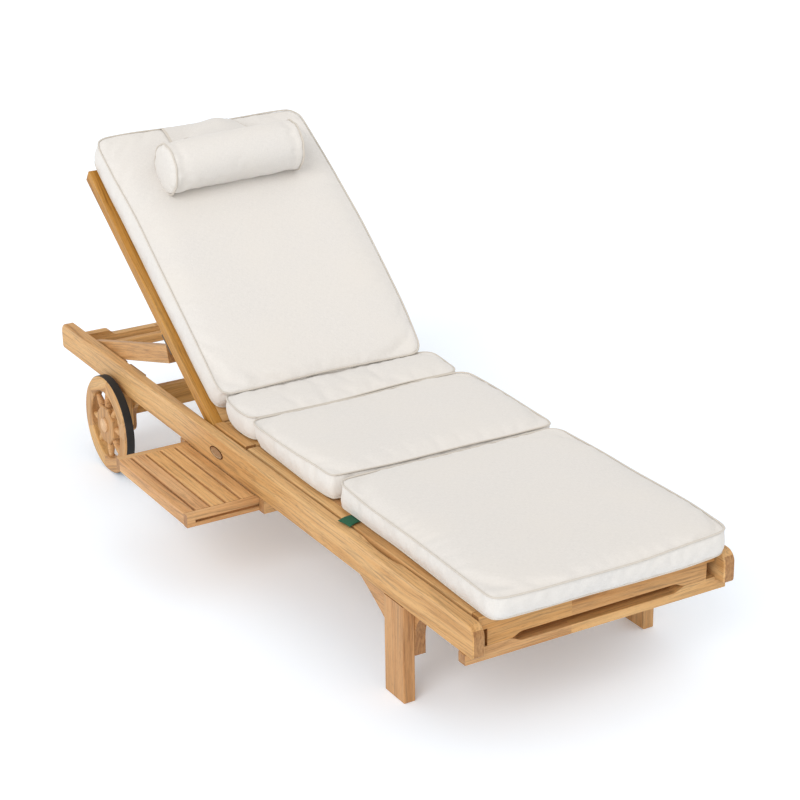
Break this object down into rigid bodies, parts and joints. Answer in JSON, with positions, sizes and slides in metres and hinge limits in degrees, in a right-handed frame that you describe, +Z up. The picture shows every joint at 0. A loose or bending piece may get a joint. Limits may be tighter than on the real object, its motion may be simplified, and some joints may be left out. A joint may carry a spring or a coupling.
{
  "type": "chaise longue",
  "caption": "Slatted wooden chaise longue on legs and spoked wheels, with a back that tilts on a notched prop, a lifting knee section, a sliding side tray, cushions and a headrest roll.",
  "frame": {"origin": "on the floor, under the centre of the box round the whole object as shown, tray out and cushions on", "axes": "+X across the lounger away from the tray side, +Y along it towards the head end, +Z up"},
  "size_m": [0.8396, 2.013, 0.8258],
  "materials": {
    "teak": "smooth oiled golden brown teak",
    "cushion_fabric": "woven cream outdoor cloth over a soft filling",
    "tyre_rubber": "matt black rubber",
    "brass": "satin brass",
    "steel": "plain stainless steel"
  },
  "bodies": {
    "frame": {"axle": "brass", "axle_beam": "teak", "back_rack_left": "teak", "back_rack_right": "teak", "foot_apron": "teak", "foot_board": "teak", "foot_leg_left": "teak", "foot_leg_right": "teak", "head_board": "teak", "hip_cushion": "cushion_fabric", "hip_slats": "teak", "hip_stile_left": "teak", "hip_stile_right": "teak", "ledger_left": "teak", "ledger_right": "teak", "pivot_pins": "steel", "rail_left": "teak", "rail_right": "teak", "tray_runner_foot": "teak", "tray_runner_head": "teak", "wheel_leg_left": "teak", "wheel_leg_right": "teak"},
    "back": {"back_stile_left": "teak", "back_stile_right": "teak", "back_low_rail": "teak", "back_high_rail": "teak", "back_slats": "teak", "prop_plate_left": "steel", "prop_plate_right": "steel", "back_cushion": "cushion_fabric", "headrest_roll": "cushion_fabric", "headrest_flap": "cushion_fabric"},
    "prop": {"prop_arm_left": "teak", "prop_arm_right": "teak", "prop_stretcher": "teak", "prop_bar": "teak"},
    "knee_section": {"knee_stile_left": "teak", "knee_stile_right": "teak", "knee_slats": "teak", "hinge_knee_half": "brass", "knee_cushion": "cushion_fabric"},
    "foot_section": {"foot_stile_left": "teak", "foot_stile_right": "teak", "foot_slats": "teak", "foot_end_rail": "teak", "hinge_foot_half": "brass", "foot_cushion": "cushion_fabric"},
    "knee_prop": {"knee_prop": "teak"},
    "tray": {"tray_end_foot": "teak", "tray_end_head": "teak", "tray_boards": "teak"},
    "wheel_left": {"wheel_rim_left": "teak", "wheel_hub_left": "teak", "wheel_spokes_left": "teak", "wheel_tyre_left": "tyre_rubber"},
    "wheel_right": {"wheel_rim_right": "teak", "wheel_hub_right": "teak", "wheel_spokes_right": "teak", "wheel_tyre_right": "tyre_rubber"}
  },
  "joints": [
    {"name": "back_tilt", "type": "hinge", "parent": "frame", "child": "back", "pos_m": [0.0672, 0.1801, 0.2745], "axis": [1, 0, 0], "range_deg": [-34.35, 25.65]},
    {"name": "prop_swing", "type": "hinge", "parent": "back", "child": "prop", "pos_m": [0.0672, 0.428, 0.3761], "axis": [1, 0, 0], "range_deg": [-39, 52.3]},
    {"name": "knee_lift", "type": "hinge", "parent": "frame", "child": "knee_section", "pos_m": [0.0672, -0.0135, 0.276], "axis": [-1, 0, 0], "range_deg": [0, 25], "deforming": ["hip_cushion"]},
    {"name": "foot_fold", "type": "hinge", "parent": "knee_section", "child": "foot_section", "pos_m": [0.0672, -0.475, 0.265], "axis": [1, 0, 0], "range_deg": [0, 48.5]},
    {"name": "knee_prop_swing", "type": "hinge", "parent": "knee_section", "child": "knee_prop", "pos_m": [0.0672, -0.2435, 0.259], "axis": [1, 0, 0], "range_deg": [0, 50]},
    {"name": "tray_slide", "type": "slide", "parent": "frame", "child": "tray", "axis": [1, 0, 0], "range_m": [0, 0.175]},
    {"name": "wheel_left_spin", "type": "hinge", "parent": "frame", "child": "wheel_left", "pos_m": [-0.2681, 0.6645, 0.1248], "axis": [1, 0, 0], "continuous": true},
    {"name": "wheel_right_spin", "type": "hinge", "parent": "frame", "child": "wheel_right", "pos_m": [0.4025, 0.6645, 0.1248], "axis": [1, 0, 0], "continuous": true}
  ],
  "couplings": [
    {"joint": "prop_swing", "follows": "back_tilt", "ratio": -1.52},
    {"joint": "foot_fold", "follows": "knee_lift", "ratio": 1.938},
    {"joint": "knee_prop_swing", "follows": "knee_lift", "ratio": 2}
  ]
}
